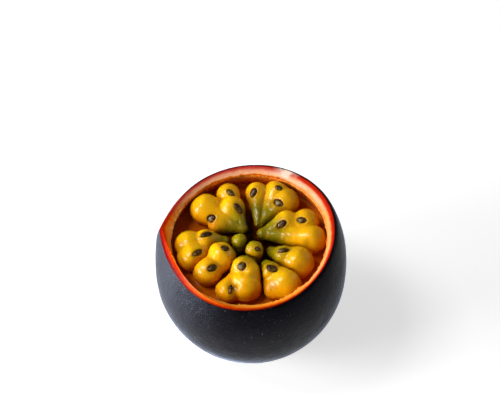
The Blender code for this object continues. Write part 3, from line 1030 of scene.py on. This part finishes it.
def make_rind():
    """The rind with its relief, and with what its materials need to know at each point."""
    count = COLUMNS
    angles = 2.0 * math.pi * np.arange(count) / count
    rings = rind_rings(angles)

    def spread(key):
        """A share of the rings, for each point."""
        return np.concatenate([np.full(count, shares.get(key, 0.0)) for _, _, shares in rings])

    around = np.tile(angles, len(rings))
    radius = np.concatenate([ring[0] for ring in rings])
    height = np.concatenate([ring[1] for ring in rings])
    points = ring_points(radius, around, height)
    across = spread("across")
    cut = spread("cut")
    wall = spread("wall")
    climb = spread("climb")

    # The inner edge is frayed: it wanders in and out, and bears small tufts.
    near_edge = cut * np.exp(-across / FRAYED_CUT_SHARE)
    near_edge = near_edge + wall * smooth_step(*FRAYED_WALL_BORDER, climb)
    wander = noise_at(points, WANDER_GRAIN, 1)
    fray = noise_at(points, FRAY_GRAIN, 2)
    tufts = smooth_step(*TUFT_BORDER, noise_at(points, TUFT_GRAIN, 3))
    inward = near_edge * (WANDER_SIZE * wander + FRAY_SIZE * fray + TUFT_SIZE * tufts)
    upward = cut * FRAY_RISE * fray + near_edge * TUFT_RISE * tufts
    ripples = wall * RIPPLE_SIZE * noise_at(points * RIPPLE_STRETCH, RIPPLE_GRAIN, 4)
    on_skin = (1.0 - cut) * (1.0 - wall) * (radius > FLAT_SPOT_RADIUS)
    dimples = on_skin * DIMPLE_SIZE * noise_at(points, DIMPLE_GRAIN, 5)
    radius = np.maximum(radius - inward + ripples + dimples, 0.0)
    scar = (1.0 - smooth_step(*SCAR_BORDER, radius)) * spread("spot")
    height = height + upward + SCAR_RISE * scar
    points = ring_points(radius, around, height)

    # The first and the last ring are one point each.
    mesh = turned_mesh("rind_surface", list(points.reshape(len(rings), count, 3)))
    keep = np.ones(len(points), dtype=bool)
    keep[1:count] = False
    keep[len(points) - count + 1 :] = False
    # Painted highlights on the cut face towards the back right.
    wet_glint = GLINT_STRENGTH * facing_share(around, *GLINT_ZONE)
    wide_glint = WIDE_GLINT_STRENGTH * facing_share(around, *WIDE_GLINT_ZONE)
    wide_glint = wide_glint * (1.0 - smooth_step(*WIDE_GLINT_BORDER, across))
    # Painted glints on the upper skin at the front left.
    pebble_glints = facing_share(around, *PEBBLE_GLINT_ZONE) * smooth_step(*PEBBLE_GLINT_HEIGHTS, height)
    shown = {name: facing_share(around, *zone) for name, zone in RIND_ZONES.items()}
    shown["across"] = across
    shown["climb"] = climb + cut
    shown["pale"] = np.maximum(wet_glint, wide_glint) * smooth_step(*GLINT_INNER_BORDER, across)
    shown["pebble_glints"] = pebble_glints
    shown["scar"] = scar
    for name, values in shown.items():
        add_attribute(mesh, name, values[keep])
    set_rind_slots(mesh, np.repeat(np.arange(len(rings)), count)[keep])
    new_piece("rind_surface", mesh, ["rind"])


def make_juice():
    """The juice, with a surface that rises a little at the rind and at every lobe."""
    angles = 2.0 * math.pi * np.arange(JUICE_COLUMNS) / JUICE_COLUMNS
    outer = cavity_profile(TOUCH)[-1][0]
    rows = []
    outward = []
    for row in range(JUICE_ROWS):
        radius = outer * math.sqrt(row / (JUICE_ROWS - 1))
        flat = ring_points(radius, angles, JUICE_LEVEL)
        gap = np.min([lobe_field(flat, lobe) for lobe in LOBES.values()], axis=0)
        rise = np.exp(-np.maximum(gap, 0.0) / MENISCUS_WIDTH)
        rise = np.maximum(rise, math.exp(-(outer - radius) / MENISCUS_WIDTH))
        waves = JUICE_WAVE_HEIGHT * noise_at(flat, JUICE_WAVE_GRAIN, 6)
        flat[:, 2] += MENISCUS_HEIGHT * rise + waves
        rows.append(flat)
        outward.append(np.full(JUICE_COLUMNS, radius / outer))
    for radius, height in reversed(cavity_profile(CLEARANCE)[:-1]):
        rows.append(ring_points(radius, angles, height))
        outward.append(np.ones(JUICE_COLUMNS))
    mesh = turned_mesh("juice_surface", rows)
    values = np.concatenate([outward[0][:1], *outward[1:-1], outward[-1][:1]])
    add_attribute(mesh, "outward", values)
    mesh.materials.append(juice_material())
    new_piece("juice_surface", mesh, ["juice"])


def form_points(form):
    """The places of a form's vertices."""
    return np.array([vertex.co[:] for vertex in form.verts])


def smooth_form(form):
    """Moves each vertex half of the way to the middle of its neighbours."""
    bmesh.ops.smooth_vert(
        form, verts=form.verts, factor=0.5, use_axis_x=True, use_axis_y=True, use_axis_z=True
    )


def unit_ball(segments, rings):
    """The points and the faces of a ball with a radius of 1."""
    form = bmesh.new()
    bmesh.ops.create_uvsphere(form, u_segments=segments, v_segments=rings, radius=1.0)
    form.verts.index_update()
    points = form_points(form)
    faces = [[vertex.index for vertex in face.verts] for face in form.faces]
    form.free()
    return points, faces


def mesh_of_copies(name, copies, faces):
    """One mesh from copies of a form, each given by its own points."""
    count = len(copies[0])
    all_faces = [
        [count * number + corner for corner in face] for number in range(len(copies)) for face in faces
    ]
    return new_mesh(name, np.concatenate(copies).tolist(), all_faces)


def rough_lobe(name, grain):
    """Balls strung along a lobe's bars, remeshed into one skin."""
    points, faces = unit_ball(BALL_SEGMENTS, BALL_RINGS)
    balls = []
    for pair in bars(LOBES[name]):
        for start, end, start_radius, end_radius in pair:
            length = np.linalg.norm(end - start)
            steps = max(2, math.ceil(BALLS_PER_RADIUS * length / end_radius))
            for number in range(steps + 1):
                share = number / steps
                radius = start_radius + share * (end_radius - start_radius)
                balls.append(start + share * (end - start) + radius * points)
    rough = add_object(name + "_balls", mesh_of_copies(name + "_balls", balls, faces))
    remesh = rough.modifiers.new("One skin", "REMESH")
    remesh.mode = "VOXEL"
    remesh.voxel_size = grain
    bpy.context.view_layer.update()
    graph = bpy.context.evaluated_depsgraph_get()
    made = bpy.data.meshes.new_from_object(rough.evaluated_get(graph))
    bpy.data.objects.remove(rough)
    made.name = name + "_surface"
    return made


def green_share(points, name):
    """1 near the middle of the fruit, where a lobe is green, and 0 where it is yellow."""
    green_until, yellow_from = LOBES[name]["green"]
    reach = np.hypot(points[:, 0], points[:, 1])
    return 1.0 - smooth_step(green_until * MM, yellow_from * MM, reach)


def relief(points, name):
    """How far each point of a lobe moves out, the painted shade round its seeds' wells, and how brown
    seeds and painted shade make it.
    """
    move = LUMP_HEIGHT * noise_at(points, LUMP_GRAIN, 7)
    move = move + PIMPLE_HEIGHT * noise_at(points, PIMPLE_GRAIN, 8)
    wrinkles = noise_at(points, WRINKLE_GRAIN, 10)
    move = move - WRINKLE_HEIGHT * green_share(points, name) * (1.0 - 2.0 * np.abs(wrinkles))
    for head, facing, lean, width, depth in DENTS.get(name, []):
        move = move - depth * MM * bell(points, seed_place(name, head, facing, lean), width)
    well_shade = np.zeros(len(points))
    halo_and_shade = np.zeros(len(points))
    for spot, axes, half, width_share in seed_frames(name):
        local = (points - spot) @ axes.T
        ring = np.hypot(local[:, 0] / half, local[:, 1] / (half * width_share))
        close = np.abs(local[:, 2]) < RING_DEPTH
        well = 1.0 - smooth_step(*WELL_BORDER, ring)
        lip = np.exp(-(((ring - LIP_RING) / LIP_SPREAD) ** 2))
        move = move + close * (LIP_HEIGHT * lip - WELL_DEPTH * well)
        # Painted shade round the well, fainter on the side that faces the light.
        lit = smooth_step(0.0, 1.0, (points - spot) @ SEED_LIGHT_SIDE / (half * width_share))
        dark = (1.0 - smooth_step(*WELL_SHADE_BORDER, ring)) * (1.0 - WELL_SHADE_LOST_IN_LIGHT * lit)
        well_shade = np.maximum(well_shade, close * dark)
        halo_and_shade = np.maximum(halo_and_shade, close * np.exp(-((ring / HALO_RING) ** 4)))
    # Brown where a seed lies under the skin, and painted shade where a wide blush faces away from the
    # left lamps.
    for head, facing, lean, width, strength in BLUSHES_AND_SHADE.get(name, []):
        spot = seed_place(name, head, facing, lean)
        halo_and_shade = np.maximum(halo_and_shade, strength * bell(points, spot, width))
    return move, well_shade, halo_and_shade


def make_lobe(name, material):
    """One lobe at its true form, with its relief."""
    grain = GRAIN
    mesh = rough_lobe(name, grain)
    form = bmesh.new()
    form.from_mesh(mesh)
    for _ in range(SMOOTHINGS):
        smooth_form(form)
        for vertex, place in zip(form.verts, settle(form_points(form), name)):
            vertex.co = place
    for _ in range(round((ROUNDED.get(name, 0.0) / grain) ** 2)):
        smooth_form(form)
    points = form_points(form)
    form.to_mesh(mesh)
    form.free()
    slope = slope_of(points, name)
    slope = slope / np.linalg.norm(slope, axis=1)[:, None]
    move, well_shade, halo_and_shade = relief(points, name)
    shown = points + move[:, None] * slope
    mesh.vertices.foreach_set("co", shown.astype(np.float32).ravel())
    mesh.update()
    top = max(head[2] + head[3] for head in LOBES[name]["heads"]) * MM
    # Painted shade: how far below the lobe's top a point lies, for darker colour towards the juice.
    add_attribute(mesh, "low", np.clip((top - points[:, 2]) / (top - JUICE_LEVEL), 0.0, 1.0))
    add_attribute(mesh, "green", green_share(points, name))
    add_attribute(mesh, "well_shade", well_shade)
    add_attribute(mesh, "halo_and_shade", halo_and_shade)
    mesh.materials.append(material)
    new_piece(name + "_surface", mesh, [name])


def make_seeds():
    """All the seeds that show, as one mesh: flat ovals with pointed ends."""
    points, faces = unit_ball(SEED_SEGMENTS, SEED_RINGS)
    x, y, z = points.T
    dome = np.sqrt(np.clip(1.0 - x * x - y * y, 0.0, 1.0)) * (z > 0.0)
    copies = []
    dome_and_lit_shares = []
    for name in LOBES:
        for number, (spot, axes, half, width_share) in enumerate(seed_frames(name)):
            wedge, curl, pointing = SEED_FORMS.get((name, number), USUAL_SEED_FORM)
            ripple = 1.0 + SEED_UNEVENNESS * noise_at(points + spot / half, SEED_UNEVEN_GRAIN, 9)
            width = ripple * width_share * (1.0 - pointing * np.abs(x) ** 3) * (1.0 + wedge * x)
            side = curl * width_share * (x * x - SEED_CURL_MIDDLE)
            centre = spot - axes[2] * (half * SEED_THICKNESS_SHARE - SEED_RISE)
            shape = np.stack((x * ripple, y * width + side, z * SEED_THICKNESS_SHARE), axis=1)
            offset = SEED_SHOWN_SHARE * half * shape @ axes
            copies.append(centre + offset)
            # Painted light: lighter on the side that faces SEED_LIGHT_SIDE.
            lit = smooth_step(*SEED_LIGHT_BORDER, offset @ SEED_LIGHT_SIDE / (half * width_share))
            dome_and_lit_shares.append(SEED_LIGHT_SHARE * (dome + lit))
    mesh = mesh_of_copies("seeds", copies, faces)
    add_attribute(mesh, "middle", np.concatenate(dome_and_lit_shares))
    mesh.materials.append(seed_material())
    with_seeds = [name for name in LOBES if LOBES[name]["seeds"]]
    new_piece("seeds", mesh, with_seeds)


def add_light(name, place, size, power):
    """A soft square light that looks at the fruit's middle."""
    data = bpy.data.lights.new(name, "AREA")
    data.energy = power
    data.size = size
    made = add_object(name, data)
    made.location = place
    aim = Vector((0.0, 0.0, EQUATOR_LEVEL)) - Vector(place)
    made.rotation_euler = aim.to_track_quat("-Z", "Y").to_euler()


def make_floor():
    """A plain pale floor, which glows a little to be as pale as the photograph's."""
    half = FLOOR_HALF_SIZE
    corners = [(-half, -half, 0.0), (half, -half, 0.0), (half, half, 0.0), (-half, half, 0.0)]
    material, _ = new_material("pale_floor")
    values = {
        "Base Color": (FLOOR_GREY, FLOOR_GREY, FLOOR_GREY),
        "Roughness": 0.9,
        "Specular IOR Level": 0.1,
        "Emission Color": (1.0, 1.0, 1.0),
        "Emission Strength": FLOOR_GLOW,
    }
    mesh = new_mesh("floor", corners, [(0, 1, 2, 3)])
    mesh.materials.append(finished(material, values))
    add_object("floor", mesh)


def make_camera():
    """The photograph's view."""
    data = bpy.data.cameras.new("camera")
    data.lens = CAMERA_LENS
    data.sensor_width = CAMERA_SENSOR
    data.clip_start = CLIP_START
    camera = add_object("camera", data)
    elevation = math.radians(CAMERA_ELEVATION)
    place = CAMERA_DISTANCE * Vector((0.0, -math.cos(elevation), math.sin(elevation)))
    place = place + Vector((0.0, 0.0, EQUATOR_LEVEL))
    dip = elevation - CAMERA_TILT
    forward = Vector((CAMERA_PAN, math.cos(dip), -math.sin(dip))).normalized()
    right = forward.cross(Vector((0.0, 0.0, 1.0))).normalized()
    up = right.cross(forward)
    turned = Matrix((right, up, -forward)).transposed().to_4x4()
    camera.matrix_world = Matrix.Translation(place) @ turned
    bpy.context.scene.camera = camera


def make_world():
    """A plain white surrounding."""
    world = bpy.data.worlds.new("world")
    world.use_nodes = True
    background = world.node_tree.nodes["Background"]
    background.inputs["Color"].default_value = (1.0, 1.0, 1.0, 1.0)
    background.inputs["Strength"].default_value = WORLD_STRENGTH
    bpy.context.scene.world = world
    bpy.context.scene.view_settings.view_transform = "Standard"


def main():
    """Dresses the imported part."""
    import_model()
    make_camera()
    make_world()
    make_floor()
    for light in LIGHTS:
        add_light(*light)
    make_rind()
    make_juice()
    pulp = pulp_material()
    for name in LOBES:
        make_lobe(name, pulp)
    make_seeds()


main()
